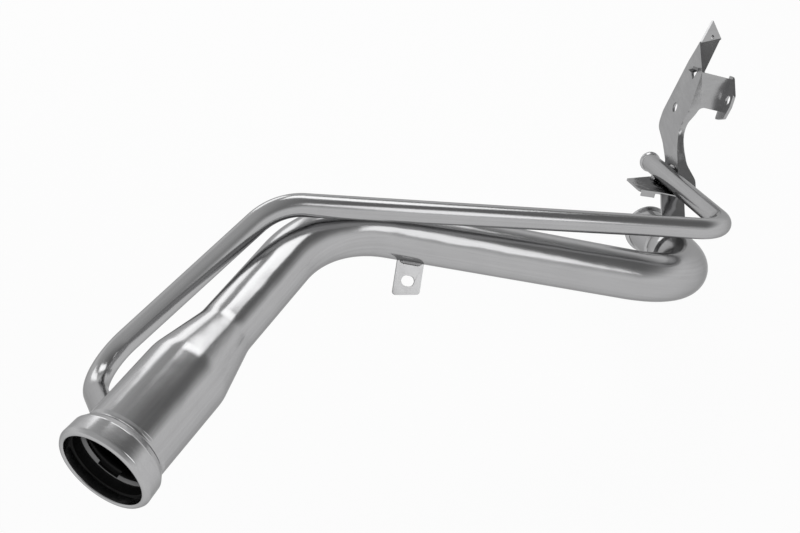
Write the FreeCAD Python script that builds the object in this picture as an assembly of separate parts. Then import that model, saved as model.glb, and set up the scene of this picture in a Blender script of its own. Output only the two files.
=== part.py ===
import FreeCAD, Part
import math
import os
from FreeCAD import Vector

# A welded steel fuel filler neck, in millimetres.
# The origin is the centre of the mouth, where its straight bore begins.
# The neck's axis runs along +Y into the part, +X is to the right and +Z is up.

# Main tube: outside diameter and wall.
TUBE_OD = 38.0
TUBE_WALL = 1.5
TUBE_R = TUBE_OD / 2

# A bend in a turned section is cut into flats: one where it is tight, two where it is wider.
TIGHT_BEND_R = 2.0

# Where the main tube's centre line turns, and how tightly.
MOUTH = Vector(0, 0, 0)
FIRST_BEND = Vector(0, 244.7, 0)
SECOND_BEND = Vector(246, 411, -99.5)
HOSE_TIP = Vector(164, 520, -153.7)
FIRST_BEND_R = 89.4
SECOND_BEND_R = 80.5

# Expanded neck behind the mouth.
NECK_OD = 54.4
NECK_R = NECK_OD / 2
NECK_START = 6.0
NECK_END = 82.0
TAPER_END = 122.0
TAPER_BLEND = 38.0
THROAT_END = 185.0
GROOVE_DEPTH = 0.8
GROOVE_FLAT = 1.4
GROOVE_SLOPE = 1.4
GROOVE_BEND = 1.0

# Pressed head round the mouth.
HEAD_SHEET = 1.3
HEAD_DEPTH = 16.8
LIP_BORE_R = 26.9
LIP_FRONT = 1.35
LIP_CREST_R = 29.6
SKIRT_R = 31.4
SKIRT_REAR_R = 30.8
SHOULDER_R = 28.5
SLEEVE_END = 11.0

# Notched ring for the cap.
RING_SHEET = 1.2
RING_FRONT = 12.0
RING_INNER_R = 22.9
RING_BEND = 1.8
RING_RIM = 1.3
CAM_DEPTH = 6.0
CAM_RISE = 3.4
NOTCH_WIDTH = 14.0
NOTCH_ANGLE = -117.0

# Beads for the main hose.
HOSE_BEAD_R = 21.0
HOSE_BEAD_LENGTH = 7.0
STOP_BEAD_R = 20.6
STOP_BEAD_HALF = 3.2
STOP_FROM_TIP = 50.5

# Vent tube.
VENT_OD = 16.0
VENT_WALL = 1.0
VENT_R = VENT_OD / 2
VENT_AIM = Vector(0, 16, 4)
VENT_POINTS = [Vector(-84.5, 81, -44.3), Vector(-12.7, 210, 35.2), Vector(247.5, 425.6, -49.8)]
VENT_TIP = Vector(141.6, 581.7, -129.2)
VENT_BEND_R = [32.5, 43.7, 34.3]
VENT_BEAD_R = 9.3
VENT_BEAD_LENGTH = 5.0
BRAZE_WIDTH = 2.4
BRAZE_HEIGHT = 1.6

# Mounting tab on the run between the bends.
TAB_SHEET = 2.0
TAB_POINTING = Vector(0.191, -0.696, -0.692)
TAB_FROM_BEND = 68.0
TAB_WIDTH = 20.0
TAB_REACH = 25.2
TAB_DROP = 3.2
TAB_CORNER = 2.5
TAB_HOLE_WIDTH = 7.5
TAB_HOLE_LENGTH = 10.0
TAB_HOLE_REACH = 13.5
TAB_BEAD_R = 2.0

# Support bracket at the hose end, measured from the hose tip:
# across the tube end, along it, and up from it.
BRACKET_SHEET = 2.5
WEB_GAP = 0.3
BRACKET_HOLE = (50.5, 102.5)
BRACKET_HOLE_D = 8.8
EAR_OFFSET = 27.0
EAR_HOLE = (11.0, 124.5)
EAR_HOLE_D = 8.5
GUSSET_REACH = 20.5
GUSSET_RISE = 11.0
TAB_APEX = Vector(7.0, 6.5, 21.0)
TAB_DRAIN_D = 3.0
TONGUE_LEAN = Vector(-5.5, 0, 1.5)

# Shelf, leg and foot under the vent tube's end.
SHELF_SHEET = 1.8
SHELF_GAP = 0.25
SHELF_LIP = 3.6
FOOT_LOW = -71.5
FOOT_HIGH = -56.0
FOOT_LEFT = 30.0
FOOT_RIGHT = 6.0
FOOT_BOTTOM = -3.0
WELD_R = 1.8
TACK_R = 2.0
TACK_LENGTH = 9.0
TACK_AT = 12.0


def unit(vector):
    """The same direction, one unit long."""
    return Vector(vector).normalize()


def corner_arc(before, corner, after, radius):
    """Start, middle and end of the arc that rounds a corner, with its centre and turn."""
    back, ahead = unit(before - corner), unit(after - corner)
    half = back.getAngle(ahead) / 2
    reach = radius / math.tan(half)
    centre = corner + unit(back + ahead) * (radius / math.sin(half))
    middle = centre + unit(corner - centre) * radius
    return corner + back * reach, middle, corner + ahead * reach, centre, math.pi - 2 * half


def outline_wire(points, radii, closed):
    """A wire through points, with an arc of its own radius at each one."""
    count = len(points)
    edges = []
    here = points[0]
    corners = range(count) if closed else range(1, count - 1)
    arcs = {}
    for index in corners:
        if radii[index] > 0:
            arcs[index] = corner_arc(points[index - 1], points[index],
                                     points[(index + 1) % count], radii[index])
    if closed and 0 in arcs:
        here = arcs[0][2]
    stops = list(range(1, count)) + ([0] if closed else [])
    for index in stops:
        if index in arcs:
            start, middle, end = arcs[index][:3]
            if (start - here).Length > 1e-6:
                edges.append(Part.LineSegment(here, start).toShape())
            edges.append(Part.Arc(start, middle, end).toShape())
            here = end
        else:
            edges.append(Part.LineSegment(here, points[index]).toShape())
            here = points[index]
    return Part.Wire(edges)


def flattened(points, radii):
    """The points of an open outline whose round corners are cut into a few flats."""
    line = [points[0]]
    for index in range(1, len(points) - 1):
        if radii[index] <= 0:
            line.append(points[index])
            continue
        start, middle, end, centre, turn = corner_arc(points[index - 1], points[index],
                                                      points[index + 1], radii[index])
        first, last = start - centre, end - centre
        flats = 1 if radii[index] < TIGHT_BEND_R else 2
        for step in range(flats + 1):
            share = step / flats
            lean = first * math.sin((1 - share) * turn) + last * math.sin(share * turn)
            line.append(centre + lean * (1 / math.sin(turn)))
    return line + [points[-1]]


def offset_right(points, radii, distance):
    """The same open outline, moved to its right by a distance, in the XY plane."""
    moved, turned = [], []
    last = len(points) - 1
    for index, point in enumerate(points):
        after = unit(points[min(index, last - 1) + 1] - points[min(index, last - 1)])
        before = unit(points[max(index, 1)] - points[max(index, 1) - 1])
        right_before = Vector(before.y, -before.x, 0)
        right_after = Vector(after.y, -after.x, 0)
        middle = unit(right_before + right_after)
        moved.append(point + middle * (distance / middle.dot(right_before)))
        to_right = before.cross(after).z < 0
        bend = radii[index] - distance if to_right else radii[index] + distance
        turned.append(max(bend, 0) if radii[index] > 0 else 0)
    return moved, turned


def sheet_ring(section, sheet, origin, axis):
    """A pressed ring: a bent strip of sheet turned about an axis.

    The section lists (along the axis, radius, bend radius), and the sheet lies to its right.
    """
    points = [Vector(s, r, 0) for s, r, bend in section]
    radii = [bend for s, r, bend in section]
    inner, inner_radii = offset_right(points, radii, sheet)
    outer_line = flattened(points, radii)
    inner_line = flattened(inner, inner_radii)
    around = outer_line + list(reversed(inner_line))
    face = Part.Face(Part.makePolygon(around + [around[0]]))
    ring = face.revolve(Vector(0, 0, 0), Vector(1, 0, 0), 360)
    return placed(ring, origin, unit(axis))


def placed(shape, origin, axis):
    """Turn a shape built along +X to lie along an axis from an origin."""
    turn = FreeCAD.Rotation(Vector(1, 0, 0), axis)
    shape.Placement = FreeCAD.Placement(origin, turn)
    return shape


def annulus(centre, axis, radius, wall):
    """A ring-shaped face square to an axis."""
    outer = Part.Wire(Part.makeCircle(radius, centre, axis))
    inner = Part.Wire(Part.makeCircle(radius - wall, centre, axis))
    return Part.makeFace([outer, inner], "Part::FaceMakerBullseye")


def straight_tube(start, end, radius, wall):
    """A tube between two points."""
    return annulus(start, unit(end - start), radius, wall).extrude(end - start)


def bent_tube(arc, incoming, radius, wall):
    """A tube round one arc."""
    start, middle, end, centre, turn = arc
    axis = unit((start - centre).cross(incoming))
    face = annulus(start, incoming, radius, wall)
    return face.revolve(centre, axis, math.degrees(turn))


def tube_route(points, radii, radius, wall):
    """Straight and bent tubes along a route, and the direction of its last run."""
    pieces = []
    here = points[0]
    for index in range(1, len(points) - 1):
        arc = corner_arc(points[index - 1], points[index], points[index + 1], radii[index - 1])
        pieces.append(straight_tube(here, arc[0], radius, wall))
        pieces.append(bent_tube(arc, unit(points[index] - points[index - 1]), radius, wall))
        here = arc[2]
    pieces.append(straight_tube(here, points[-1], radius, wall))
    return pieces


def joined(pieces):
    """Pieces of one sheet or tube as one solid with no inner seams."""
    whole = pieces[0].fuse(pieces[1:])
    return whole.removeSplitter()


# Directions at the hose end: along the tube, across it and up from it.
END_DIR = unit(HOSE_TIP - SECOND_BEND)
RUN_DIR = unit(SECOND_BEND - FIRST_BEND)
ACROSS = Vector(0.8284, 0.4782, -0.2916)
ACROSS = unit(ACROSS - END_DIR * ACROSS.dot(END_DIR))
UP = ACROSS.cross(END_DIR)


def to_tip_frame(shape):
    """Move a shape drawn with X across, Y along and Z up to the hose end."""
    turn = FreeCAD.Rotation(FreeCAD.Matrix(
        ACROSS.x, END_DIR.x, UP.x, 0,
        ACROSS.y, END_DIR.y, UP.y, 0,
        ACROSS.z, END_DIR.z, UP.z, 0,
        0, 0, 0, 1))
    shape.Placement = FreeCAD.Placement(HOSE_TIP, turn).multiply(shape.Placement)
    return shape


def neck_section():
    """Outline of the expanded neck, its groove, its taper and the straight throat."""
    groove = [(HEAD_DEPTH, NECK_R), (HEAD_DEPTH + GROOVE_SLOPE, NECK_R - GROOVE_DEPTH)]
    far = HEAD_DEPTH + GROOVE_SLOPE + GROOVE_FLAT
    groove += [(far, NECK_R - GROOVE_DEPTH), (far + GROOVE_SLOPE, NECK_R)]
    section = [(NECK_START, NECK_R, 0)]
    section += [(s, r, GROOVE_BEND) for s, r in groove]
    section += [(NECK_END, NECK_R, TAPER_BLEND), (TAPER_END, TUBE_R, TAPER_BLEND)]
    return section + [(THROAT_END, TUBE_R, 0)]


def bead(centre, half, radius, crest, bend):
    """Outline of one raised bead round a tube."""
    shoulder = half * 0.32
    return [(centre - half, radius, bend), (centre - shoulder, crest, bend),
            (centre + shoulder, crest, bend), (centre + half, radius, bend)]


def tip_bead(length, radius, crest, width, bend):
    """Outline of the rounded bead at the very end of a tube."""
    return [(length - width, radius, bend), (length - 0.6 * width, crest, bend),
            (length - 0.25 * width, crest, bend), (length, crest - 0.15 * width, 0)]


def neck_back():
    """Where the neck's turned section ends and the plain tube begins."""
    return MOUTH + unit(FIRST_BEND - MOUTH) * neck_section()[-1][0]


def end_start():
    """Where the last bend ends and the straight hose end begins."""
    return corner_arc(FIRST_BEND, SECOND_BEND, HOSE_TIP, SECOND_BEND_R)[2]


def make_neck_tube():
    """The expanded neck, its taper and its throat, with the hole that the vent tube covers."""
    neck = sheet_ring(neck_section(), TUBE_WALL, MOUTH, FIRST_BEND - MOUTH)
    return neck.cut(vent_rod(VENT_R - VENT_WALL))


def make_main_pipe():
    """The plain tube with its two bends, in one wall."""
    route = [neck_back(), FIRST_BEND, SECOND_BEND, end_start() + END_DIR]
    return joined(tube_route(route, [FIRST_BEND_R, SECOND_BEND_R], TUBE_R, TUBE_WALL))


def make_hose_end():
    """The straight end of the tube, with its stop bead and its hose bead."""
    length = (HOSE_TIP - end_start()).Length
    section = [(1.0, TUBE_R, 0)]
    section += bead(length - STOP_FROM_TIP, STOP_BEAD_HALF, TUBE_R, STOP_BEAD_R, 1.2)
    section += tip_bead(length, TUBE_R, HOSE_BEAD_R, HOSE_BEAD_LENGTH, 1.6)
    return sheet_ring(section, TUBE_WALL, end_start(), END_DIR)


def vent_rod(radius):
    """A solid rod along the vent tube's first run, from inside the neck."""
    first = unit(VENT_POINTS[0] - VENT_AIM)
    return Part.makeCylinder(radius, NECK_R + VENT_OD, VENT_AIM, first)


def neck_solid(radius):
    """A solid rod along the neck's axis."""
    return Part.makeCylinder(radius, NECK_END, MOUTH, unit(FIRST_BEND - MOUTH))


def elbow_end():
    """Where the vent tube's first bend ends, and the way the tube goes on from there."""
    bend = corner_arc(VENT_AIM, VENT_POINTS[0], VENT_POINTS[1], VENT_BEND_R[0])
    return bend[2], unit(VENT_POINTS[1] - VENT_POINTS[0])


def make_vent_elbow():
    """The vent tube's root and first bend, cut to sit on the neck."""
    end, ahead = elbow_end()
    route = [VENT_AIM, VENT_POINTS[0], end + ahead]
    elbow = joined(tube_route(route, VENT_BEND_R[:1], VENT_R, VENT_WALL))
    return elbow.cut(neck_solid(NECK_R))


def make_vent_pipe():
    """The rest of the thin tube, with a bead at its tip."""
    end, ahead = elbow_end()
    last = unit(VENT_TIP - VENT_POINTS[-1])
    bead_start = VENT_TIP - last * (2 * VENT_BEAD_LENGTH)
    route = [end + ahead] + VENT_POINTS[1:] + [bead_start]
    pieces = tube_route(route, VENT_BEND_R[1:], VENT_R, VENT_WALL)
    section = [(0, VENT_R, 0)]
    section += tip_bead(2 * VENT_BEAD_LENGTH, VENT_R, VENT_BEAD_R, VENT_BEAD_LENGTH, 1.0)
    pieces.append(sheet_ring(section, VENT_WALL, bead_start, last))
    return joined(pieces)


def make_vent_braze():
    """The low collar of braze on the neck, all round the vent tube's root."""
    skin = neck_solid(NECK_R + BRAZE_HEIGHT).cut(neck_solid(NECK_R))
    collar = skin.common(vent_rod(VENT_R + BRAZE_WIDTH)).cut(vent_rod(VENT_R))
    return max(collar.Solids, key=lambda one: one.Volume)


def make_filler_head():
    """The pressed collar: sleeve over the neck, rolled lip, skirt and turned-in rear edge."""
    section = [(SLEEVE_END, LIP_BORE_R, 0), (-LIP_FRONT, LIP_BORE_R, 1.2),
               (0.2 - LIP_FRONT, LIP_CREST_R, 2.4), (1.6, SKIRT_R, 2.4),
               (HEAD_DEPTH - 4.2, SKIRT_REAR_R, 2.6), (HEAD_DEPTH - 0.4, SHOULDER_R, 0.9),
               (HEAD_DEPTH, NECK_R, 0)]
    head = sheet_ring(section, HEAD_SHEET, MOUTH, FIRST_BEND - MOUTH)
    seat = Part.makeCylinder(NECK_R, NECK_END, MOUTH + unit(FIRST_BEND) * NECK_START,
                             unit(FIRST_BEND))
    return head.cut(seat)


def make_bayonet_ring():
    """The cap's ring: a flange in the neck's bore, an inner skirt, two notches and two cam ramps."""
    bore = NECK_R - TUBE_WALL
    section = [(RING_FRONT + CAM_DEPTH + RING_SHEET, RING_INNER_R, 0),
               (RING_FRONT, RING_INNER_R, RING_BEND), (RING_FRONT, bore, 0)]
    ring = sheet_ring(section, RING_SHEET, MOUTH, FIRST_BEND - MOUTH)
    for cutter in (notch(0), notch(180), ramp(0), ramp(180)):
        ring = ring.cut(cutter)
    return ring.removeSplitter()


def notch(turn):
    """A block that opens one notch in the ring and leaves a narrow rim on the neck's bore."""
    depth = NECK_R - TUBE_WALL - RING_RIM
    length = 2 * CAM_DEPTH + 2
    block = Part.makeBox(depth, length, NOTCH_WIDTH, Vector(0, RING_FRONT - 1, -NOTCH_WIDTH / 2))
    rounded = block.common(Part.makeCylinder(depth, length, Vector(0, RING_FRONT - 1, 0),
                                             Vector(0, 1, 0)))
    rounded.rotate(MOUTH, Vector(0, 1, 0), -(NOTCH_ANGLE + turn))
    return rounded


def ramp(turn):
    """A tilted block that cuts the skirt's edge into a rising ramp on one half of the ring."""
    reach = 2 * RING_INNER_R
    middle = RING_FRONT + CAM_DEPTH - CAM_RISE / 2
    block = Part.makeBox(reach, 2 * CAM_DEPTH, 2 * reach, Vector(0, middle, -reach))
    tilt = math.degrees(math.atan2(CAM_RISE, 2 * (RING_INNER_R + RING_SHEET)))
    block.rotate(Vector(0, middle, 0), Vector(1, 0, 0), tilt)
    block.rotate(MOUTH, Vector(0, 1, 0), -(NOTCH_ANGLE + 90 + turn))
    return block


def tab_frame(shape):
    """Move a shape drawn with X along the run and Y out from its axis to the tab's place."""
    out = unit(TAB_POINTING - RUN_DIR * TAB_POINTING.dot(RUN_DIR))
    side = RUN_DIR.cross(out)
    turn = FreeCAD.Rotation(FreeCAD.Matrix(
        RUN_DIR.x, out.x, side.x, 0,
        RUN_DIR.y, out.y, side.y, 0,
        RUN_DIR.z, out.z, side.z, 0,
        0, 0, 0, 1))
    place = FreeCAD.Placement(FIRST_BEND + RUN_DIR * TAB_FROM_BEND, turn)
    shape.Placement = place.multiply(shape.Placement)
    return shape


def run_rod():
    """The run of the main tube as a solid rod, drawn in the tab's frame."""
    return Part.makeCylinder(TUBE_R, 4 * TAB_WIDTH, Vector(-2 * TAB_WIDTH, 0, 0), Vector(1, 0, 0))


def plate(points, radii, thickness, normal):
    """A flat plate: a rounded outline given thickness along its normal."""
    return Part.Face(outline_wire(points, radii, True)).extrude(normal * thickness)


def make_mounting_tab():
    """The small plate with an oblong hole."""
    half = TAB_WIDTH / 2
    reach = TUBE_R + TAB_REACH
    base = TUBE_R - TAB_SHEET
    points = [Vector(-half, base, 0), Vector(half, base, 0),
              Vector(half, reach - TAB_DROP, 0), Vector(-half, reach, 0)]
    tab = plate(points, [0, 0, TAB_CORNER, TAB_CORNER], TAB_SHEET, Vector(0, 0, 1))
    slot_r = TAB_HOLE_WIDTH / 2
    end = TAB_HOLE_LENGTH / 2
    middle = TUBE_R + TAB_HOLE_REACH
    hole = [Vector(-end, middle - slot_r, 0), Vector(end, middle - slot_r, 0),
            Vector(end, middle + slot_r, 0), Vector(-end, middle + slot_r, 0)]
    tab = tab.cut(plate(hole, [slot_r * 0.999] * 4, TAB_SHEET, Vector(0, 0, 1)))
    tab.translate(Vector(0, 0, -TAB_SHEET / 2))
    return tab_frame(tab.cut(run_rod()))


def make_tab_welds():
    """One weld bead along each side of the tab's root."""
    welds = []
    for side in (-1, 1):
        height = side * (TAB_SHEET / 2 + TAB_BEAD_R * 0.3)
        length = TAB_WIDTH - 2 * TAB_BEAD_R
        start = Vector(-length / 2, TUBE_R + 0.2, height)
        bead_solid = capsule(start, start + Vector(length, 0, 0), TAB_BEAD_R)
        body = Part.makeBox(TAB_WIDTH, 4 * TAB_BEAD_R, TAB_SHEET,
                            Vector(-TAB_WIDTH / 2, TUBE_R - 2 * TAB_BEAD_R, -TAB_SHEET / 2))
        welds.append(bead_solid.cut([run_rod(), body]))
    return tab_frame(Part.makeCompound([solid for weld in welds for solid in weld.Solids[:1]]))


def capsule(start, end, radius):
    """A rod whose two ends are tapered."""
    along = unit(end - start)
    tip = radius / 2
    rod = Part.makeCylinder(radius, (end - start).Length, start, along)
    ends = [Part.makeCone(radius, tip, tip, end, along),
            Part.makeCone(radius, tip, tip, start, along * -1)]
    return rod.fuse(ends)


def vent_side(along):
    """How far the vent tube's axis lies across and up from the hose tip at one place."""
    near, far = VENT_POINTS[-1] - HOSE_TIP, VENT_TIP - HOSE_TIP
    share = (along - near.dot(END_DIR)) / (far - near).dot(END_DIR)
    middle = near + (far - near) * share
    return middle.dot(ACROSS), middle.dot(UP)


WEB_FACE = vent_side(30.0)[0] + VENT_R + WEB_GAP
SHELF_TOP = vent_side(0.0)[1] - VENT_R - SHELF_GAP


def make_support_bracket():
    """The pressed bracket: web, flange with its arm, ear, gusset and top tab."""
    near_edge = [Vector(0, -14, SHELF_TOP - SHELF_SHEET), Vector(0, 3, 57), Vector(0, 19, 73),
                 Vector(0, 28, 89), Vector(0, 20, 106), Vector(0, 20, 141.5)]
    fold_top = Vector(0, 44.5, 164)
    far_edge = [Vector(0, 54.5, 144.5), Vector(0, 73, 94), Vector(0, 73, 80),
                Vector(0, 50.5, 68.5), Vector(0, 34, 57), Vector(0, 26, SHELF_TOP - SHELF_SHEET)]
    web_points = near_edge + [fold_top] + far_edge
    web_radii = [0, 30, 40, 14, 10, 0, 0, 0, 12, 10, 30, 6, 0]
    sheet = BRACKET_SHEET
    web = plate(web_points, web_radii, sheet, Vector(1, 0, 0))
    flange = make_flange(near_edge, [0, 30, 40, 14, 10, 0], sheet)
    ear = make_ear(sheet)
    gusset = make_gusset(near_edge[-1], fold_top, sheet)
    window = [Vector(0, 41.9, 137.6), Vector(0, 29.3, 142.0), Vector(0, 33.7, 131.5)]
    web = web.cut(plate(window, [1.5, 1.5, 1.5], sheet, Vector(1, 0, 0)))
    middle = Vector(sheet / 2, 0, 0)
    root, other = window[0] + middle, window[1] + middle
    taper = (other - root) * 0.22
    tongue = flat_flap([root, other, other - taper + TONGUE_LEAN, root + taper + TONGUE_LEAN], sheet)
    bracket = web.fuse([flange, ear, gusset, tongue]).removeSplitter()
    hole = Part.makeCylinder(BRACKET_HOLE_D / 2, 4 * sheet, Vector(-sheet, *BRACKET_HOLE),
                             Vector(1, 0, 0))
    bracket = bracket.cut(hole)
    bracket.translate(Vector(WEB_FACE, 0, 0))
    return to_tip_frame(bracket)


def make_flange(edge, radii, sheet):
    """The strip folded up along the web's near edge, trimmed to its changing depth."""
    flat = [Vector(p.y, p.z, 0) for p in edge]
    moved, moved_radii = offset_right(flat, radii, sheet)
    outer = outline_wire(edge, radii, False)
    inner = outline_wire([Vector(0, p.x, p.y) for p in moved], moved_radii, False)
    ends = [Part.LineSegment(edge[-1], Vector(0, moved[-1].x, moved[-1].y)).toShape(),
            Part.LineSegment(Vector(0, moved[0].x, moved[0].y), edge[0]).toShape()]
    strip = Part.Face(Part.Wire(Part.__sortEdges__(outer.Edges + ends + inner.Edges)))
    reach = EAR_OFFSET + sheet
    strip = strip.extrude(Vector(reach, 0, 0))
    depth = [Vector(-1, -60, 30), Vector(17, -60, 30), Vector(17, -60, 52), Vector(9, -60, 62),
             Vector(5.5, -60, 80), Vector(5.5, -60, 96), Vector(9, -60, 112),
             Vector(reach, -60, 112), Vector(reach, -60, 144), Vector(-1, -60, 141.5)]
    trim = plate(depth, [0, 3, 6, 12, 20, 8, 6, 0, 0, 0], 160, Vector(0, 1, 0))
    return strip.common(trim)


def make_ear(sheet):
    """The ear at the arm's end, with its bolt hole."""
    points = [Vector(EAR_OFFSET, 20 + sheet, 144), Vector(EAR_OFFSET, 17, 144),
              Vector(EAR_OFFSET, 3.5, 130), Vector(EAR_OFFSET, 3, 120),
              Vector(EAR_OFFSET, 7, 108.5), Vector(EAR_OFFSET, 20 + sheet, 104)]
    ear = plate(points, [0, 4, 3, 3, 2, 2], sheet, Vector(1, 0, 0))
    hole = Part.makeCylinder(EAR_HOLE_D / 2, 4 * sheet, Vector(EAR_OFFSET - sheet, *EAR_HOLE),
                             Vector(1, 0, 0))
    return ear.cut(hole)


def make_gusset(low, high, sheet):
    """The flap above the arm and the top tab bent back from its upper edge."""
    along = unit(high - low)
    across = Vector(1, 0, 0)
    behind = along.cross(across) * (sheet / 2) + across * (sheet / 2)
    root, top = low + behind, high + behind
    corner = top + along * GUSSET_RISE + across * GUSSET_REACH
    flap = flat_flap([root, top, corner, root + along + across * (sheet / 2)], sheet)
    apex = top + TAB_APEX
    tab = flat_flap([top, corner, apex], sheet)
    tab = tab.cut(Part.makeCylinder(TAB_DRAIN_D / 2, 8 * sheet,
                                    top + (corner - top) * 0.5 + (apex - top) * 0.12
                                    - across.cross(along) * (4 * sheet), across.cross(along)))
    bends = [bend_rod(root, top, sheet), bend_rod(top, corner, sheet)]
    return flap.fuse([tab] + bends)


def flat_flap(points, sheet):
    """A flat flap of sheet whose outline lies in its middle plane."""
    normal = unit((points[1] - points[0]).cross(points[2] - points[0]))
    face = Part.Face(Part.makePolygon(points + [points[0]]))
    face.translate(normal * (-sheet / 2))
    return face.extrude(normal * sheet)


def bend_rod(start, end, sheet):
    """The rounded outside of a fold between two flaps."""
    return Part.makeCylinder(sheet / 2, (end - start).Length, start, end - start)


def make_vent_shelf():
    """The shelf under the vent tube, its lip, its leg and its foot on the main tube."""
    top = [Vector(-37, -42, 0), Vector(-36.5, -8.5, 0), Vector(-4, 21, 0), Vector(WEB_FACE, 24, 0),
           Vector(WEB_FACE, -22, 0), Vector(8, -34, 0), Vector(-14, -35, 0)]
    shelf = plate(list(reversed(top)), [0, 0, 0, 0, 0, 1.5, 1.5], SHELF_SHEET, Vector(0, 0, -1))
    shelf.translate(Vector(0, 0, SHELF_TOP))
    lip_dir = unit(top[6] - top[0])
    lip_start = top[0] + lip_dir * 4 + Vector(0, 0, SHELF_TOP - SHELF_SHEET / 2)
    lip = Part.makeBox(14, SHELF_SHEET, SHELF_LIP + SHELF_SHEET / 2)
    lip.Placement = FreeCAD.Placement(
        lip_start - Vector(0, 0, SHELF_LIP + SHELF_SHEET / 2),
        FreeCAD.Rotation(Vector(1, 0, 0), lip_dir))
    leg_top_left = Vector(-14, -35, SHELF_TOP - SHELF_SHEET / 2)
    leg_top_right = Vector(8, -34, SHELF_TOP - SHELF_SHEET / 2)
    down = Vector(0, -31, -30)
    leg = Part.makePolygon([leg_top_left, leg_top_right, leg_top_right + down,
                            leg_top_left + down, leg_top_left])
    leg_normal = unit((leg_top_right - leg_top_left).cross(down))
    leg = Part.Face(leg).extrude(leg_normal * SHELF_SHEET)
    piece = to_tip_frame(shelf.fuse([lip, leg])).fuse(make_foot())
    return piece.cut(end_rod(TUBE_R)).removeSplitter()


def end_rod(radius):
    """The main tube's last bend and its straight end as a solid rod."""
    start, middle, end, centre, turn = corner_arc(FIRST_BEND, SECOND_BEND, HOSE_TIP, SECOND_BEND_R)
    disc = Part.Face(Part.Wire(Part.makeCircle(radius, start, RUN_DIR)))
    axis = unit((start - centre).cross(RUN_DIR))
    bend = disc.revolve(centre, axis, math.degrees(turn))
    straight = Part.makeCylinder(radius, (HOSE_TIP - end).Length, end, END_DIR)
    return bend.fuse(straight).removeSplitter()


def tube_band(thickness, left, right, low, high, bottom):
    """A band that lies on the main tube's end, cut out by a box in the tip's frame."""
    box = Part.makeBox(left + right, high - low, 2 * TUBE_R, Vector(-left, low, bottom))
    return end_rod(TUBE_R + thickness).common(to_tip_frame(box)).cut(end_rod(TUBE_R))


def make_foot():
    """The saddle that lies on the main tube."""
    return tube_band(SHELF_SHEET, FOOT_LEFT, FOOT_RIGHT, FOOT_LOW, FOOT_HIGH, FOOT_BOTTOM)


def make_foot_welds():
    """A weld bead along each long edge of the foot."""
    low, high = FOOT_LOW + WELD_R, FOOT_HIGH - WELD_R
    lower = tube_band(0.7 * WELD_R, FOOT_LEFT, 0, low, high, FOOT_BOTTOM - WELD_R)
    upper = tube_band(0.7 * WELD_R, 0, FOOT_RIGHT + WELD_R, low, high, 0)
    welds = [band.cut(make_foot()) for band in (lower, upper)]
    return Part.makeCompound([max(weld.Solids, key=lambda one: one.Volume) for weld in welds])


def vent_end_rod(radius):
    """The vent tube's last run as a solid rod."""
    return Part.makeCylinder(radius, (VENT_TIP - VENT_POINTS[-1]).Length, VENT_POINTS[-1],
                             VENT_TIP - VENT_POINTS[-1])


def make_vent_tacks():
    """Two short weld beads that hold the vent tube to the shelf and to the web."""
    side, height = vent_side(TACK_AT)
    corner = VENT_R * 0.8
    tacks = []
    for across, up in ((side - corner, SHELF_TOP + TACK_R * 0.6),
                       (WEB_FACE - TACK_R * 0.6, height + corner)):
        start = Vector(across, TACK_AT - TACK_LENGTH / 2, up)
        tacks.append(capsule(start, start + Vector(0, TACK_LENGTH, 0), TACK_R))
    keep = Part.makeBox(100, 200, 100, Vector(WEB_FACE - 100, -100, SHELF_TOP))
    beads = to_tip_frame(Part.makeCompound([tack.common(keep) for tack in tacks]))
    cut = [solid.cut(vent_end_rod(VENT_R)) for solid in beads.Solids]
    return Part.makeCompound([max(one.Solids, key=lambda part: part.Volume) for one in cut])


def export(name, shape):
    """Check one node and write its file."""
    solids = shape.Solids
    kept = solids[0] if len(solids) == 1 else Part.makeCompound(solids)
    print(name, "solids", len(solids), "valid", kept.isValid(), "volume", round(kept.Volume, 1))
    kept.exportStep("parts/" + name + ".step")


def main():
    os.makedirs("parts", exist_ok=True)
    export("neck_tube", make_neck_tube())
    export("main_pipe", make_main_pipe())
    export("hose_end", make_hose_end())
    export("filler_head", make_filler_head())
    export("bayonet_ring", make_bayonet_ring())
    export("vent_elbow", make_vent_elbow())
    export("vent_pipe", make_vent_pipe())
    export("vent_braze", make_vent_braze())
    export("mounting_tab", make_mounting_tab())
    export("tab_welds", make_tab_welds())
    export("support_bracket", make_support_bracket())
    export("vent_shelf", make_vent_shelf())
    export("foot_welds", make_foot_welds())
    export("vent_tacks", make_vent_tacks())


main()
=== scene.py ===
# %% [markdown]
# # A welded steel fuel filler neck
#
# This lesson dresses a filler neck whose exact solids already exist. They are loaded as a fixed
# frame, and nothing here moves or resizes them. What is added is what a drawing of solids lacks:
# long smooth reflections, rippled welds, softened sheet edges and a plated finish.

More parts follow.
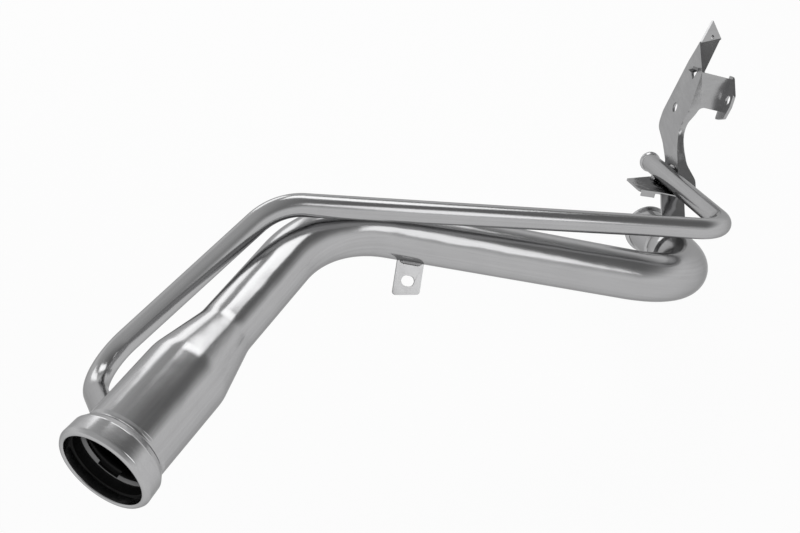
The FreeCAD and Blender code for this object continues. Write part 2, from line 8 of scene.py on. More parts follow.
# %% Load the frame
import bpy
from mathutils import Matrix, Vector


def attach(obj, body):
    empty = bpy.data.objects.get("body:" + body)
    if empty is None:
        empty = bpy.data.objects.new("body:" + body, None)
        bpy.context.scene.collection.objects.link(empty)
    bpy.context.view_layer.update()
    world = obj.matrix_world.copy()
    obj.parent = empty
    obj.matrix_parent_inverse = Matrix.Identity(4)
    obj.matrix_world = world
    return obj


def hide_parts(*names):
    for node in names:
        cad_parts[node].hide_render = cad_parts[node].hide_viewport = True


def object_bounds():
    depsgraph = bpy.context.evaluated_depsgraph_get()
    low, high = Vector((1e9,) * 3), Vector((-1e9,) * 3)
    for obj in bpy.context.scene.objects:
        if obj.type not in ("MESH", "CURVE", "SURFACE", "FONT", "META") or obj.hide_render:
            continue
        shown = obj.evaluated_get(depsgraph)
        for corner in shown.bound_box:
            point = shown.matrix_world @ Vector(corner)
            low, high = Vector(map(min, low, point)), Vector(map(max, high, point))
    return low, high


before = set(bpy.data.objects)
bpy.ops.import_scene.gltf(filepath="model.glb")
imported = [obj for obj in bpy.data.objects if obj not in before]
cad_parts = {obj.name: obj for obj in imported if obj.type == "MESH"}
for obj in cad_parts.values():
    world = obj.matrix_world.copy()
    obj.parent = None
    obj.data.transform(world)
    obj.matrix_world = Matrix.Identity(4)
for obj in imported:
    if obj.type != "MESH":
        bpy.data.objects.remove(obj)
cad_box = [list(corner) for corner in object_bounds()]
import bpy
import math
from mathutils import Matrix, Vector
print("nodes:", len(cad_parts), "box:", cad_box)

# %% [markdown]
# ## Sizes
#
# The solids were drawn in millimetres and Blender works in metres, so the sizes below are
# written in millimetres and turned into metres once, when a mesh is made. The route of each tube
# is given by the points where its middle line turns, which is how a tube bender is set up.

# %% Sizes of the tubes
MM = 0.001
TUBE_R = 19.0
TUBE_WALL = 1.5
MAIN_CORNERS = [Vector((0, 0, 0)), Vector((0, 244.7, 0)),
                Vector((246, 411, -99.5)), Vector((164, 520, -153.7))]
MAIN_BENDS = [89.4, 80.5]
VENT_R = 8.0
VENT_WALL = 1.0
VENT_CORNERS = [Vector((0, 16, 4)), Vector((-84.5, 81, -44.3)), Vector((-12.7, 210, 35.2)),
                Vector((247.5, 425.6, -49.8)), Vector((141.6, 581.7, -129.2))]
VENT_BENDS = [32.5, 43.7, 34.3]
HOSE_BEAD_R = 21.0
STOP_BEAD_R = 20.6
STOP_BEAD_BACK = 50.5
VENT_BEAD_R = 9.3

# %% Sizes of the neck and its head
NECK_R = 27.2
NECK_START = 6.0
HEAD_DEPTH = 16.8
HEAD_SHEET = 1.3
LIP_BORE_R = 26.9
LIP_FRONT = -1.35
LIP_CREST_R = 29.6
SKIRT_R = 31.4
SKIRT_REAR_R = 30.8
SHOULDER_R = 28.5
SLEEVE_END = 11.0
GROOVE_R = NECK_R - 0.8
TAPER_START = 82.0
TAPER_END = 122.0
TAPER_BEND = 38.0
NECK_SECTION = [(NECK_START, NECK_R, 0), (HEAD_DEPTH, NECK_R, 1.0), (18.2, GROOVE_R, 1.0),
                (19.6, GROOVE_R, 1.0), (21.0, NECK_R, 1.0),
                (TAPER_START, NECK_R, TAPER_BEND), (TAPER_END, TUBE_R, TAPER_BEND)]
LIP_SECTION = [(LIP_FRONT, LIP_BORE_R, 1.2), (-1.15, LIP_CREST_R, 2.4), (1.6, SKIRT_R, 2.4),
               (12.6, SKIRT_REAR_R, 2.6), (16.4, SHOULDER_R, 0.9), (HEAD_DEPTH, NECK_R, 0)]

# %% [markdown]
# ## The middle line of a bent tube
#
# A drawn tube is bent on rollers, so its middle line is straight runs joined by arcs. A spline
# through the same points would wander off the true arc, and the highlight along the tube would
# show it. So the line is worked out exactly, as runs and arcs, and read off at any distance.

# %% Straight runs and arcs
def bent_line(corners, bends):
    """The runs and arcs of a middle line, each with its length and its own shape."""
    parts = []
    here = corners[0]
    for before, corner, after, bend in zip(corners, corners[1:], corners[2:], bends):
        ahead = (corner - before).normalized()
        onward = (after - corner).normalized()
        turn = ahead.angle(onward)
        reach = bend * math.tan(turn / 2)
        inward = (onward - ahead * ahead.dot(onward)).normalized()
        start = corner - ahead * reach
        parts.append(((start - here).length, here, ahead, inward, 0))
        parts.append((bend * turn, start, ahead, inward, bend))
        here = corner + onward * reach
    last = (corners[-1] - corners[-2]).normalized()
    parts.append(((corners[-1] - here).length, here, last, last, 0))
    return parts


def place_at(parts, distance):
    """The point and the direction of a middle line at a distance from its start."""
    left = distance
    for index, (length, start, ahead, inward, bend) in enumerate(parts):
        if left <= length or index == len(parts) - 1:
            break
        left -= length
    if bend == 0:
        return start + ahead * left, ahead
    angle = left / bend
    point = start + ahead * (bend * math.sin(angle)) + inward * (bend * (1 - math.cos(angle)))
    return point, ahead * math.cos(angle) + inward * math.sin(angle)


main_line = bent_line(MAIN_CORNERS, MAIN_BENDS)
main_length = sum(part[0] for part in main_line)
vent_line = bent_line(VENT_CORNERS, VENT_BENDS)
vent_length = sum(part[0] for part in vent_line)
print("main tube", round(main_length, 1), "mm, vent tube", round(vent_length, 1), "mm")


# %% [markdown]
# ## Sections of bent sheet
#
# Each pressed or expanded form is a strip of sheet with round corners. Its section lists corners
# as (distance along, radius, bend), the corners are rounded with short flats, and the far face of
# the sheet is the same list moved aside by the sheet's thickness.

# %% Round corners and the far face
def rounded(section, flats=7):
    """A section's points, with each bend cut into short flats."""
    points = [Vector((s, r)) for s, r, bend in section]
    line = [points[0]]
    for index in range(1, len(points) - 1):
        bend = section[index][2]
        back = (points[index - 1] - points[index]).normalized()
        onward = (points[index + 1] - points[index]).normalized()
        half = math.acos(max(-1, min(1, back.dot(onward)))) / 2
        if bend <= 0 or half > math.radians(89.5):
            line.append(points[index])
            continue
        reach = bend / math.tan(half)
        centre = points[index] + (back + onward).normalized() * (bend / math.sin(half))
        first = points[index] + back * reach - centre
        last = points[index] + onward * reach - centre
        turn = math.pi - 2 * half
        for step in range(flats + 1):
            share = step / flats
            lean = first * math.sin((1 - share) * turn) + last * math.sin(share * turn)
            line.append(centre + lean / math.sin(turn))
    return line + [points[-1]]


def far_face(section, sheet):
    """The section on the other face of the sheet, to the right of the way it runs."""
    points = [Vector((s, r)) for s, r, bend in section]
    last = len(points) - 1
    moved = []
    for index, point in enumerate(points):
        before = points[max(index, 1)] - points[max(index, 1) - 1]
        after = points[min(index + 1, last)] - points[min(index, last - 1)]
        before.normalize()
        after.normalize()
        right = Vector((before.y, -before.x))
        middle = (right + Vector((after.y, -after.x))).normalized()
        corner = point + middle * (sheet / middle.dot(right))
        to_right = before.x * after.y - before.y * after.x < 0
        bend = section[index][2]
        bend = 0 if bend == 0 else max(bend - sheet if to_right else bend + sheet, 0)
        moved.append((corner.x, corner.y, bend))
    return moved


def bead(middle, half, radius, crest, bend):
    """Corners of one raised bead round a tube."""
    shoulder = half * 0.32
    return [(middle - half, radius, bend), (middle - shoulder, crest, bend),
            (middle + shoulder, crest, bend), (middle + half, radius, bend)]


def tip_bead(length, radius, crest, width, bend):
    """Corners of the rounded bead at the very end of a tube."""
    return [(length - width, radius, bend), (length - 0.6 * width, crest, bend),
            (length - 0.25 * width, crest, bend), (length, crest - 0.15 * width, 0)]


print("neck section:", len(rounded(NECK_SECTION)), "points")


# %% [markdown]
# ## Tubes as one skin
#
# The wall of a tube is a closed strip, outside, end, inside and end again, that is carried along
# the middle line. Each vertex also keeps where it was before the tube was bent, in an attribute
# called `drawn`. The marks of drawing run along the tube, so the finish is looked up there, and
# its streaks follow every bend. A second attribute, `inside`, is 1 on the inner face, where the
# finish darkens the metal as painted shade.

# %% Carry a wall along a line
def frames_along(line, distances):
    """A point and two directions across the line at each distance, with no twist."""
    frames = {}
    ahead = place_at(line, distances[0])[1]
    side = ahead.orthogonal().normalized()
    for distance in distances:
        point, onward = place_at(line, distance)
        side = ahead.rotation_difference(onward) @ side
        side = (side - onward * side.dot(onward)).normalized()
        frames[distance] = (point, side, onward.cross(side))
        ahead = onward
    return frames


def stations(line, outline, step=2.6):
    """An outline with more points where the line bends, so that arcs stay smooth."""
    marks = []
    run = 0
    for length, start, ahead, inward, bend in line:
        if bend > 0:
            count = math.ceil(math.degrees(length / bend) / step)
            marks += [run + length * index / count for index in range(count + 1)]
        run += length
    dense = [outline[0]]
    for here, there in zip(outline, outline[1:]):
        inner = sorted(mark for mark in marks if here[0] < mark < there[0])
        for mark in inner:
            share = (mark - here[0]) / (there[0] - here[0])
            dense.append((mark, here[1] + (there[1] - here[1]) * share))
        dense.append(there)
    return dense


def wall_mesh(name, line, outside, inside, sides, painted_shade_start=None):
    """A tube's mesh from the distances and radii of its two faces."""
    # The outer ring at the front end of the neck and every ring of the inner face are flagged
    # here, and the finish darkens them as painted shade inside the tube.
    strip = [(round(s, 4), r, 1.0 if s == painted_shade_start else 0.0) for s, r in outside]
    strip += [(round(s, 4), r, 1.0) for s, r in reversed(inside)]
    frames = frames_along(line, sorted({s for s, r, flag in strip}))
    vertices = []
    drawn = []
    for s, r, flag in strip:
        point, side, across = frames[s]
        for index in range(sides):
            angle = 2 * math.pi * index / sides
            x, y = r * math.cos(angle), r * math.sin(angle)
            vertices.append((point + side * x + across * y) * MM)
            drawn.append(Vector((x, y, s)) * MM)
    faces = []
    for ring in range(len(strip)):
        after = (ring + 1) % len(strip)
        for index in range(sides):
            beside = (index + 1) % sides
            faces.append((ring * sides + index, ring * sides + beside,
                          after * sides + beside, after * sides + index))
    mesh = bpy.data.meshes.new(name)
    mesh.from_pydata(vertices, [], faces)
    keep_drawn(mesh, drawn, [flag for s, r, flag in strip for index in range(sides)])
    return mesh


def keep_drawn(mesh, drawn, flags):
    """Store where each vertex was before bending, and whether it is on the inner face."""
    straight = mesh.attributes.new("drawn", "FLOAT_VECTOR", "POINT")
    straight.data.foreach_set("vector", [value for place in drawn for value in place])
    inner = mesh.attributes.new("inside", "FLOAT", "POINT")
    inner.data.foreach_set("value", flags)


# %% [markdown]
# ## From a mesh to a piece
#
# A piece gets outward normals, smooth shading with sharp edges where the sheet is cut, a body to
# ride on and its finish, and the solids that it stands for are hidden.

# %% Put a piece in the scene
import bmesh


def add_piece(name, mesh, finish, nodes, sharp=40):
    """Make an object of a mesh, shade it, and tie it to the frame."""
    shell = bmesh.new()
    shell.from_mesh(mesh)
    bmesh.ops.recalc_face_normals(shell, faces=shell.faces)
    shell.to_mesh(mesh)
    shell.free()
    mesh.shade_smooth()
    mesh.set_sharp_from_angle(angle=math.radians(sharp))
    mesh.materials.append(finish)
    piece = bpy.data.objects.new(name, mesh)
    bpy.context.scene.collection.objects.link(piece)
    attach(piece, "root")
    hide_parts(*nodes)
    print(name, len(mesh.polygons), "faces, stands for", ", ".join(nodes))
    return piece


# %% [markdown]
# ## Sums in a shader
#
# A finish is arithmetic on numbers that change over the surface. Blender does it with Math nodes,
# one for each sign, which is slow to read. So one small class wraps a node's output, and a plus
# or a minus in Python adds the Math node. Every other node comes from one method, `add`.

# %% A wrapped socket and a finish
class Shade:
    """One output of a node, which takes part in sums as a number does."""

    def __init__(self, finish, socket):
        self.finish = finish
        self.socket = socket

    def beside(self, name):
        """Another output of the same node."""
        return Shade(self.finish, self.socket.node.outputs[name])

    def sum_node(self, operation, first, second):
        return self.finish.add("ShaderNodeMath", {"operation": operation}, {0: first, 1: second})

    def __add__(self, other):
        return self.sum_node("ADD", self, other)

    def __sub__(self, other):
        return self.sum_node("SUBTRACT", self, other)

    def __rsub__(self, other):
        return self.sum_node("SUBTRACT", other, self)

    def __mul__(self, other):
        return self.sum_node("MULTIPLY", self, other)

    __radd__ = __add__
    __rmul__ = __mul__


class Finish:
    """A node tree that is being built."""

    def __init__(self, tree):
        self.tree = tree
        self.tree.nodes.clear()

    def add(self, kind, settings=None, sockets=None, output=0):
        """Add a node: its settings first, then the values or links of its sockets."""
        node = self.tree.nodes.new(kind)
        for name, value in (settings or {}).items():
            if name == "stops":
                set_stops(node.color_ramp, value)
            else:
                setattr(node, name, value)
        for name, value in (sockets or {}).items():
            if isinstance(value, Shade):
                self.tree.links.new(value.socket, node.inputs[name])
            else:
                node.inputs[name].default_value = value
        return Shade(self, node.outputs[output]) if node.outputs else node


def set_stops(ramp, stops):
    """Give a colour ramp its stops, as (place, grey)."""
    while len(ramp.elements) < len(stops):
        ramp.elements.new(1.0)
    for element, (place, grey) in zip(ramp.elements, stops):
        element.position = place
        element.color = (grey, grey, grey, 1)


def new_finish(name):
    """A named material and the finish that fills it."""
    material = bpy.data.materials.new(name)
    material.use_nodes = True
    return material, Finish(material.node_tree)


# %% [markdown]
# ## Plated steel
#
# The part is bright zinc on steel: a grey mirror that is slightly blurred, with fine lengthwise
# marks and cloudy patches where the plating bath left it. A flat grey would show none of that.
# The marks are noise stretched along the metal, and they change the colour a little, the
# roughness more, and the surface by a bump that is almost too small to see.

# %% One recipe for every plated finish
WAVES = (70, 70, 45)
PATCH_SCALE = 38.0
PIT_SCALE = 900.0
RIM_TINT = (0.5, 0.5, 0.5, 1)


def plated(name, grey, rough, where, stretch, marks, cloud, height, wave, inner=None):
    """A plated finish, looked up at `where`, with marks that are long along `stretch`, and painted
    shade on the face that `inner` gives.
    """
    material, finish = new_finish(name)
    place = where(finish)
    long_place = finish.add("ShaderNodeVectorMath", {"operation": "MULTIPLY"},
                            {0: place, 1: stretch})
    streak = finish.add("ShaderNodeTexNoise", {}, {"Vector": long_place, "Scale": 1.0,
                                                   "Detail": 4.0, "Roughness": 0.6})
    patch = finish.add("ShaderNodeTexNoise", {}, {"Vector": place, "Scale": PATCH_SCALE,
                                                  "Detail": 3.0, "Roughness": 0.5})
    pits = finish.add("ShaderNodeTexNoise", {}, {"Vector": place, "Scale": PIT_SCALE,
                                                 "Detail": 2.0, "Roughness": 0.5})
    level = grey + (streak - 0.5) * marks + (patch - 0.5) * cloud + (pits - 0.5) * (0.3 * marks)
    roughness = rough + (streak - 0.5) * (0.9 * marks) + (patch - 0.5) * (1.1 * cloud)
    # The inner face is darkened to a tenth of its grey and made rougher: painted shade inside the
    # tubes, where little light gets in.
    if inner is not None:
        painted_inner_shade = inner(finish)
        level = level * (1 - 0.9 * painted_inner_shade)
        roughness = roughness + painted_inner_shade * 0.3
    colour = finish.add("ShaderNodeCombineColor", {"mode": "RGB"},
                        {"Red": level, "Green": level, "Blue": level * 1.01})
    swell = finish.add("ShaderNodeTexNoise", {}, {"Vector": finish.add(
        "ShaderNodeVectorMath", {"operation": "MULTIPLY"}, {0: place, 1: WAVES}),
        "Scale": 1.0, "Detail": 1.0, "Roughness": 0.4})
    relief = streak * height + pits * (0.4 * height) + swell * wave
    bump = finish.add("ShaderNodeBump", {}, {"Height": relief, "Strength": 1.0, "Distance": MM})
    metal = finish.add("ShaderNodeBsdfPrincipled", {},
                       {"Base Color": colour, "Roughness": roughness, "Metallic": 1.0,
                        "Normal": bump, "Specular Tint": RIM_TINT})
    finish.add("ShaderNodeOutputMaterial", {}, {"Surface": metal})
    print("finish", name, len(material.node_tree.nodes), "nodes")
    return material


def before_bending(finish):
    """Where a point was while its tube was still straight."""
    return finish.add("ShaderNodeAttribute", {"attribute_name": "drawn"}, output=1)


def inner_face(finish):
    """1 on the inner face of a tube and 0 outside."""
    return finish.add("ShaderNodeAttribute", {"attribute_name": "inside"}, output=2)


def on_the_part(finish):
    """The place on the part itself, in metres."""
    return finish.add("ShaderNodeTexCoord", {}, output=3)


# %% The finishes
drawn_steel = plated("drawn_steel", 0.42, 0.19, before_bending, (420, 420, 7), 0.10, 0.05,
                     0.02, 0.35, inner=inner_face)
vent_steel = plated("vent_steel", 0.42, 0.20, before_bending, (520, 520, 9), 0.12, 0.05,
                    0.015, 0.12, inner=inner_face)
head_steel = plated("head_steel", 0.44, 0.20, before_bending, (90, 90, 420), 0.08, 0.04,
                    0.015, 0.15, inner=inner_face)
ring_steel = plated("ring_steel", 0.16, 0.38, on_the_part, (160, 160, 160), 0.06, 0.05, 0.03, 0.1)
sheet_steel = plated("sheet_steel", 0.38, 0.24, on_the_part, (60, 60, 300), 0.10, 0.08, 0.03, 0.25)
leg_steel = plated("leg_steel", 0.38, 0.16, on_the_part, (90, 90, 300), 0.12, 0.08, 0.03, 1.3)
weld_steel = plated("weld_steel", 0.34, 0.34, on_the_part, (300, 300, 300), 0.14, 0.10, 0.05, 0.2)

# %% [markdown]
# ## The main tube
#
# One tube is drawn, expanded for the mouth, grooved behind the head, tapered down and bent twice.
# Its solids are split in three so that both ends can collide as a hollow, but the real tube has
# no seam, so here it is one skin and its reflection runs unbroken from mouth to hose.

# %% Main tube
TUBE_SIDES = 96
hose_bead = tip_bead(main_length, TUBE_R, HOSE_BEAD_R, 7.0, 1.6)
stop_bead = bead(main_length - STOP_BEAD_BACK, 3.2, TUBE_R, STOP_BEAD_R, 1.2)
main_section = NECK_SECTION + stop_bead + hose_bead
main_outside = stations(main_line, [tuple(point) for point in rounded(main_section)])
main_inside = stations(main_line, [tuple(point) for point in
                                   rounded(far_face(main_section, TUBE_WALL))])
main_mesh = wall_mesh("main_tube", main_line, main_outside, main_inside, TUBE_SIDES, NECK_START)
main_tube = add_piece("main_tube", main_mesh, drawn_steel,
                      ["neck_tube", "main_pipe", "hose_end"])

# %% [markdown]
# The vent tube opens into the neck through a hole in its wall. A drill would make it, and here a
# round rod cuts it, because the hole's edge on a curved wall is awkward to place by hand.

# %% The hole under the vent tube
def cut_with_rod(piece, start, end, radius):
    """Cut a round hole through a piece, and bake the cut into its mesh."""
    length = (end - start).length * MM
    bpy.ops.mesh.primitive_cylinder_add(vertices=48, radius=radius * MM, depth=length,
                                        location=(start + end) * (MM / 2))
    rod = bpy.context.object
    rod.rotation_euler = (end - start).to_track_quat("Z", "Y").to_euler()
    cut = piece.modifiers.new("hole", "BOOLEAN")
    cut.operation = "DIFFERENCE"
    cut.solver = "EXACT"
    cut.object = rod
    state = bpy.context.evaluated_depsgraph_get()
    state.update()
    mesh = bpy.data.meshes.new_from_object(piece.evaluated_get(state), depsgraph=state,
                                           preserve_all_data_layers=True)
    piece.modifiers.remove(cut)
    piece.data = mesh
    bpy.data.objects.remove(rod)
    print(piece.name, "cut, now", len(mesh.polygons), "faces")


vent_way = (VENT_CORNERS[1] - VENT_CORNERS[0]).normalized()
cut_with_rod(main_tube, VENT_CORNERS[0] + vent_way * 12, VENT_CORNERS[0] + vent_way * 60,
             VENT_R - VENT_WALL)

# %% [markdown]
# ## The vent tube
#
# Its root is cut like a fish's mouth to sit on the round neck. Instead of cutting, each vertex of
# the first ring slides along the tube until it lies on the neck, which leaves a clean edge.

# %% Vent tube
def reach_neck(place, way, radius):
    """How far from a place, along a way, a line leaves the round neck."""
    flat = Vector((place.x, 0, place.z))
    step = Vector((way.x, 0, way.z))
    square = step.dot(step)
    half = flat.dot(step)
    return (-half + math.sqrt(half * half - square * (flat.dot(flat) - radius * radius))) / square


def seat_on_neck(mesh, sides):
    """Slide the first ring of each face of the vent tube on to the neck."""
    last = len(mesh.vertices) - sides
    for index in list(range(sides)) + list(range(last, len(mesh.vertices))):
        place = mesh.vertices[index].co / MM
        mesh.vertices[index].co = (place + vent_way * reach_neck(place, vent_way, NECK_R)) * MM


VENT_SIDES = 64
vent_root = reach_neck(VENT_CORNERS[0], vent_way, NECK_R)
vent_section = [(vent_root, VENT_R, 0)] + tip_bead(vent_length, VENT_R, VENT_BEAD_R, 5.0, 1.0)
vent_outside = stations(vent_line, [tuple(point) for point in rounded(vent_section)])
vent_inside = stations(vent_line, [tuple(point) for point in
                                   rounded(far_face(vent_section, VENT_WALL))])
vent_mesh = wall_mesh("vent_tube", vent_line, vent_outside, vent_inside, VENT_SIDES)
seat_on_neck(vent_mesh, VENT_SIDES)
add_piece("vent_tube", vent_mesh, vent_steel, ["vent_elbow", "vent_pipe"])

# %% [markdown]
# ## The pressed head
#
# A ring is pressed from sheet: a sleeve over the neck, a rolled lip round the mouth, a skirt, and
# a rear edge turned in to the neck. It is a section turned about the neck, with more steps round
# it than the tubes have, because its lip is the nearest thing to the eye.

# %% Filler head
HEAD_SIDES = 144
HEAD_FLATS = 10
neck_axis = [(100.0, Vector((0, 0, 0)), Vector((0, 1, 0)), Vector((0, 1, 0)), 0)]
sleeve = [(SLEEVE_END, NECK_R, 0), (NECK_START, NECK_R, 0), (NECK_START, LIP_BORE_R, 0)]
head_near = [tuple(point) for point in rounded(sleeve + LIP_SECTION, HEAD_FLATS)]
head_far = rounded(far_face([(SLEEVE_END, LIP_BORE_R, 0)] + LIP_SECTION, HEAD_SHEET), HEAD_FLATS)
head_far = [(s, max(r, NECK_R) if s > NECK_START else r) for s, r in head_far]
head_mesh = wall_mesh("pressed_head", neck_axis, head_near, head_far, HEAD_SIDES)
add_piece("pressed_head", head_mesh, head_steel, ["filler_head"])

# %% [markdown]
# ## Weld beads
#
# A weld is laid as a row of small overlapping puddles. A plain rod would look like wire, so the
# bead's radius swells and shrinks with each ripple and fades at both ends.

# %% A rippled bead along a path
RIPPLE = 1.3


def weld_mesh(name, path, ups, radius, closed=False, sides=18):
    """A rippled bead through close points, sitting on a surface whose way up is given."""
    count = len(path)
    lengths = [0.0]
    for before, point in zip(path, path[1:]):
        lengths.append(lengths[-1] + (point - before).length)
    whole = lengths[-1]
    vertices = []
    for index, point in enumerate(path):
        before = path[index - 1] if closed or index > 0 else path[0]
        after = path[(index + 1) % count] if closed or index < count - 1 else path[-1]
        ahead = (after - before).normalized()
        side = ahead.cross(ups[index]).normalized()
        up = side.cross(ahead)
        size = radius * (1 + 0.11 * math.sin(2 * math.pi * lengths[index] / RIPPLE))
        if not closed:
            edge = min(lengths[index], whole - lengths[index]) / (1.2 * radius)
            size *= math.sqrt(max(0.02, min(1, edge)))
        for turn in range(sides):
            angle = 2 * math.pi * turn / sides
            vertices.append((point + side * (size * math.cos(angle))
                             + up * (0.8 * size * math.sin(angle))) * MM)
    faces = []
    for ring in range(count if closed else count - 1):
        after = (ring + 1) % count
        for turn in range(sides):
            beside = (turn + 1) % sides
            faces.append((ring * sides + turn, ring * sides + beside,
                          after * sides + beside, after * sides + turn))
    if not closed:
        faces.append(tuple(range(sides)))
        faces.append(tuple(range((count - 1) * sides, count * sides)))
    mesh = bpy.data.meshes.new(name)
    mesh.from_pydata(vertices, [], faces)
    return mesh


# %% [markdown]
# The vent's root is brazed all round, so that bead is a closed loop, where a rod a little wider
# than the vent tube meets the round neck.

# %% Braze round the vent's root
BRAZE_R = 1.5
BRAZE_ROUND = VENT_R + 0.6
BRAZE_STEPS = 160
braze_side = vent_way.orthogonal().normalized()
braze_across = vent_way.cross(braze_side)
braze_path = []
for step in range(BRAZE_STEPS):
    angle = 2 * math.pi * step / BRAZE_STEPS
    outward = braze_side * math.cos(angle) + braze_across * math.sin(angle)
    start = VENT_CORNERS[0] + outward * BRAZE_ROUND
    braze_path.append(start + vent_way * reach_neck(start, vent_way, NECK_R + 0.2))
braze_ups = [Vector((point.x, 0, point.z)).normalized() for point in braze_path]
braze_mesh = weld_mesh("vent_root_braze", braze_path, braze_ups, BRAZE_R, closed=True)
add_piece("vent_root_braze", braze_mesh, weld_steel, ["vent_braze"])

# %% [markdown]
# The tab, the foot and the vent's end are held by short straight beads. Their places are measured
# as the welder would: along the run for the tab, and from the hose tip for the others.

# %% Directions at the hose end and on the run
HOSE_TIP = MAIN_CORNERS[3]
VENT_TIP = VENT_CORNERS[4]
end_way = (HOSE_TIP - MAIN_CORNERS[2]).normalized()
run_way = (MAIN_CORNERS[2] - MAIN_CORNERS[1]).normalized()
end_across = Vector((0.8284, 0.4782, -0.2916))
end_across = (end_across - end_way * end_across.dot(end_way)).normalized()
end_up = end_across.cross(end_way)


def at_tip(across, along, up):
    """A place measured from the hose tip."""
    return HOSE_TIP + end_across * across + end_way * along + end_up * up


def vent_side(along):
    """How far the vent tube lies across and up from the hose tip at one place."""
    near = VENT_CORNERS[3] - HOSE_TIP
    far = VENT_TIP - HOSE_TIP
    share = (along - near.dot(end_way)) / (far - near).dot(end_way)
    middle = near + (far - near) * share
    return middle.dot(end_across), middle.dot(end_up)


WEB_FACE = vent_side(30.0)[0] + VENT_R + 0.3
SHELF_TOP = vent_side(0.0)[1] - VENT_R - 0.25
print("web face", round(WEB_FACE, 2), "shelf top", round(SHELF_TOP, 2))


def straight_bead(name, start, end, up, radius):
    """A rippled bead from one point to another."""
    count = math.ceil((end - start).length / (RIPPLE / 8))
    path = [start.lerp(end, step / count) for step in range(count + 1)]
    return weld_mesh(name, path, [up] * len(path), radius)


def several(name, meshes):
    """Some meshes as one."""
    shell = bmesh.new()
    for mesh in meshes:
        shell.from_mesh(mesh)
    whole = bpy.data.meshes.new(name)
    shell.to_mesh(whole)
    shell.free()
    return whole


# %% Beads on both sides of the tab
tab_out = Vector((0.191, -0.696, -0.692))
tab_out = (tab_out - run_way * tab_out.dot(run_way)).normalized()
tab_side = run_way.cross(tab_out)
tab_middle = MAIN_CORNERS[1] + run_way * 68.0 + tab_out * (TUBE_R + 0.3)
tab_beads = []
for side in (-1, 1):
    root = tab_middle + tab_side * (side * 1.5)
    up = (tab_out + tab_side * side).normalized()
    tab_beads.append(straight_bead("tab_bead", root - run_way * 8, root + run_way * 8, up, 1.9))
add_piece("tab_weld_beads", several("tab_weld_beads", tab_beads), weld_steel,
          ["tab_welds"])

# %% Beads at both ends of the foot
foot_beads = []
for across, up in ((-18.6, -3.9), (6.9, 17.7)):
    away = (end_across * across + end_up * up).normalized()
    foot_beads.append(straight_bead("foot_bead", at_tip(across, -69.7, up),
                                    at_tip(across, -57.8, up), away, 1.5))
add_piece("foot_weld_beads", several("foot_weld_beads", foot_beads), weld_steel,
          ["foot_welds"])

# %% Two tacks that hold the vent tube
tack_across, tack_up = vent_side(12.0)
tack_beads = []
for across, up in ((tack_across - 6.4, SHELF_TOP + 1.2), (WEB_FACE - 1.2, tack_up + 6.4)):
    away = (end_across * (across - WEB_FACE) + end_up * (up - SHELF_TOP)).normalized()
    tack_beads.append(straight_bead("tack", at_tip(across, 7.5, up), at_tip(across, 16.5, up),
                                    away, 1.9))
add_piece("vent_tack_beads", several("vent_tack_beads", tack_beads), weld_steel,
          ["vent_tacks"])

# %% [markdown]
# ## Pressed sheet
#
# The bracket, the shelf, the tab and the notched ring keep their exact solids. A blanked edge is
# never a perfect corner, though, and it is the thin bright line along an edge that makes sheet
# look like sheet. A narrow bevel gives each edge that line.

# %% Softened edges and a sheet finish
def dress(node, finish, edge):
    """Give a solid its finish and soften its edges."""
    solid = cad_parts[node]
    for slot in solid.material_slots:
        slot.material = finish
    weld = solid.modifiers.new("weld", "WELD")
    weld.merge_threshold = 0.00001
    bevel = solid.modifiers.new("edge", "BEVEL")
    bevel.width = edge * MM
    bevel.segments = 2
    bevel.limit_method = "ANGLE"
    bevel.angle_limit = math.radians(35)
    bevel.harden_normals = True
    print(node, "dressed, slots", len(solid.material_slots))


dress("support_bracket", sheet_steel, 0.35)
dress("vent_shelf", leg_steel, 0.3)
dress("mounting_tab", sheet_steel, 0.3)
dress("bayonet_ring", ring_steel, 0.2)

# %% [markdown]
# ## Floor, light and camera
#
# The part is shown on a plain white floor under soft lamps. Plated steel shows whatever stands
# around it, so the light is as much of the finish as the material is: a pale room, dimmer
# overhead on the far right, and wide soft lamps that draw the long highlights. The floor is
# white to the eye and in reflections, and it still takes a faint shadow.

# %% White floor
FLOOR_HALF = 200.0
FLOOR_GAP = 0.05
FLOOR_GLOW = 0.93
level = cad_box[0][2] - FLOOR_GAP
floor_mesh = bpy.data.meshes.new("floor")
floor_mesh.from_pydata([(x * FLOOR_HALF, y * FLOOR_HALF, level)
                        for x, y in ((-1, -1), (1, -1), (1, 1), (-1, 1))], [], [(0, 1, 2, 3)])
floor = bpy.data.objects.new("floor", floor_mesh)
bpy.context.scene.collection.objects.link(floor)
floor_material, floor_finish = new_finish("floor_white")
path_kind = floor_finish.add("ShaderNodeLightPath", output=0)
seen = path_kind + path_kind.beside("Is Glossy Ray") + path_kind.beside("Is Transmission Ray")
plain = floor_finish.add("ShaderNodeBsdfDiffuse", {}, {"Color": (0.9, 0.9, 0.9, 1)})
white = floor_finish.add("ShaderNodeEmission", {}, {"Color": (1, 1, 1, 1), "Strength": 1.0})
both = floor_finish.add("ShaderNodeMixShader", {}, {0: seen * FLOOR_GLOW, 1: plain, 2: white})
floor_finish.add("ShaderNodeOutputMaterial", {}, {"Surface": both})
floor_mesh.materials.append(floor_material)

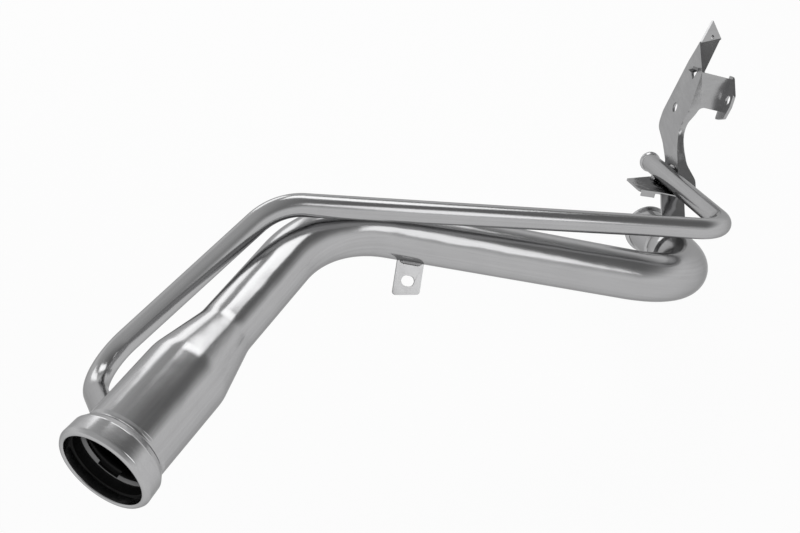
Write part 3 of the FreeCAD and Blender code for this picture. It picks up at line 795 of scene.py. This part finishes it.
# %% Pale room
world = bpy.data.worlds.new("room")
bpy.context.scene.world = world
world.use_nodes = True
room = Finish(world.node_tree)
way = room.add("ShaderNodeTexCoord", {}, output=0)
east = room.add("ShaderNodeSeparateXYZ", {}, {0: way})
north = east.beside("Y")
height = east.beside("Z")
overhead = room.add("ShaderNodeMapRange", {"interpolation_type": "SMOOTHSTEP"},
                    {"Value": height, "From Min": 0.12, "From Max": 0.6})
far_side = room.add("ShaderNodeMapRange", {"interpolation_type": "SMOOTHSTEP"},
                    {"Value": east * 0.85 + north * 0.5, "From Min": -0.75, "From Max": 0.75})
paleness = 1 - overhead * (0.35 + far_side * 0.45)
back = room.add("ShaderNodeBackground", {}, {"Color": paleness, "Strength": 1.0})
room.add("ShaderNodeOutputWorld", {}, {"Surface": back})

# %% Soft lamps
MIDDLE = Vector((0.09, 0.32, -0.05))


def softbox(name, towards, distance, width, height, strength):
    """A wide lamp that faces the part, as bright as `strength` times white paper."""
    lamp = bpy.data.lights.new(name, "AREA")
    lamp.shape = "RECTANGLE"
    lamp.size = width
    lamp.size_y = height
    lamp.energy = 4 * strength * width * height
    holder = bpy.data.objects.new(name, lamp)
    holder.location = MIDDLE + towards.normalized() * distance
    holder.rotation_euler = towards.to_track_quat("Z", "Y").to_euler()
    bpy.context.scene.collection.objects.link(holder)
    print(name, "at", [round(value, 2) for value in holder.location])


softbox("back_lamp", Vector((-0.12, 0.6, 0.86)), 1.1, 0.85, 0.45, 1.7)
softbox("right_lamp", Vector((0.76, -0.2, 0.6)), 1.1, 0.45, 0.5, 1.35)
softbox("left_lamp", Vector((-0.75, 0.45, 0.35)), 1.2, 0.6, 0.5, 1.2)

# %% [markdown]
# The camera stands where the photograph was taken from, as fitted to the mouth's ellipses and to
# both tubes: above the mouth and to its right, looking down along the part.

# %% Camera
AZIMUTH = math.radians(27.6)
ELEVATION = math.radians(42.8)
CAMERA_PLACE = Vector((0.3387, -0.2872, 0.5372))
LENS = 53.4
right = Vector((math.cos(AZIMUTH), math.sin(AZIMUTH), 0))
behind = Vector((math.sin(AZIMUTH) * math.cos(ELEVATION),
                 -math.cos(AZIMUTH) * math.cos(ELEVATION), math.sin(ELEVATION)))
upward = behind.cross(right)
eye = bpy.data.cameras.new("camera")
eye.lens = LENS
eye.sensor_width = 36.0
camera = bpy.data.objects.new("camera", eye)
turned = Matrix((right, upward, behind)).transposed().to_4x4()
camera.matrix_world = Matrix.Translation(CAMERA_PLACE) @ turned
bpy.context.scene.collection.objects.link(camera)
bpy.context.scene.camera = camera
bpy.context.scene.view_settings.view_transform = "Standard"
